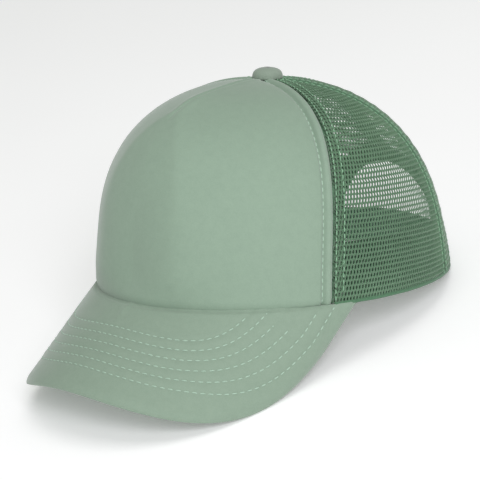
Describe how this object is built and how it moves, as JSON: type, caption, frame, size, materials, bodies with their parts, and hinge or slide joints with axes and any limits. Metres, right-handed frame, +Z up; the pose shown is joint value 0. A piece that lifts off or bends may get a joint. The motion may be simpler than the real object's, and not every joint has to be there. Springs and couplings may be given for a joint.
{
  "type": "trucker mesh cap",
  "caption": "Adjustable trucker cap with a foam front, mesh sides and back, a curved quilted brim and a snap closure at the back.",
  "frame": {"origin": "on the surface it stands on, under the middle of the cap's length and width", "axes": "+Z up, -Y out of the brim's front, +X to the wearer's left; the cap stands tipped back 14.9 degrees on the brim's two sides and the rear of its rim"},
  "size_m": [0.161, 0.2433, 0.1286],
  "materials": {
    "face_fabric": "smooth laminated face cloth",
    "front_foam": "white laminated foam",
    "mesh": "open knitted net",
    "seam_tape": "woven seam tape",
    "button_metal": "pressed metal",
    "button_cloth": "cloth over the button",
    "brim_cloth": "quilted face cloth",
    "brim_under": "plain cloth",
    "brim_foam": "thin foam",
    "brim_plate": "stiff plastic board",
    "sweatband": "brushed cotton band",
    "binding": "folded woven tape",
    "strap": "flexible moulded plastic"
  },
  "bodies": {
    "cap": {"front_cover": "face_fabric", "front_foam": "front_foam", "side_mesh_left": "mesh", "side_mesh_right": "mesh", "back_mesh_left": "mesh", "back_mesh_right": "mesh", "front_dart_tape": "seam_tape", "front_seam_tape_left": "seam_tape", "front_seam_tape_right": "seam_tape", "rear_seam_tape_left": "seam_tape", "rear_seam_tape_right": "seam_tape", "back_centre_tape": "seam_tape", "button_cover": "button_cloth", "button_shell": "button_metal", "button_prong": "button_metal", "button_washer": "button_metal", "brim_top_cover": "brim_cloth", "brim_foam": "brim_foam", "brim_board": "brim_plate", "brim_under_cover": "brim_under", "sweatband": "sweatband", "back_opening_binding": "binding", "hole_strap_tab": "strap", "peg_strap_tab": "strap"},
    "hole_strap": {"hole_strap": "strap"},
    "peg_strap": {"peg_strap": "strap"}
  },
  "joints": [
    {"name": "hole_strap_hinge", "type": "hinge", "parent": "cap", "child": "hole_strap", "pos_m": [0.03324, 0.11246, 0.011], "axis": [0, -0.0444, -0.999], "range_deg": [0, 65]},
    {"name": "peg_strap_hinge", "type": "hinge", "parent": "cap", "child": "peg_strap", "pos_m": [-0.03324, 0.11086, 0.01108], "axis": [0, -0.0444, -0.999], "range_deg": [0, 35]}
  ]
}
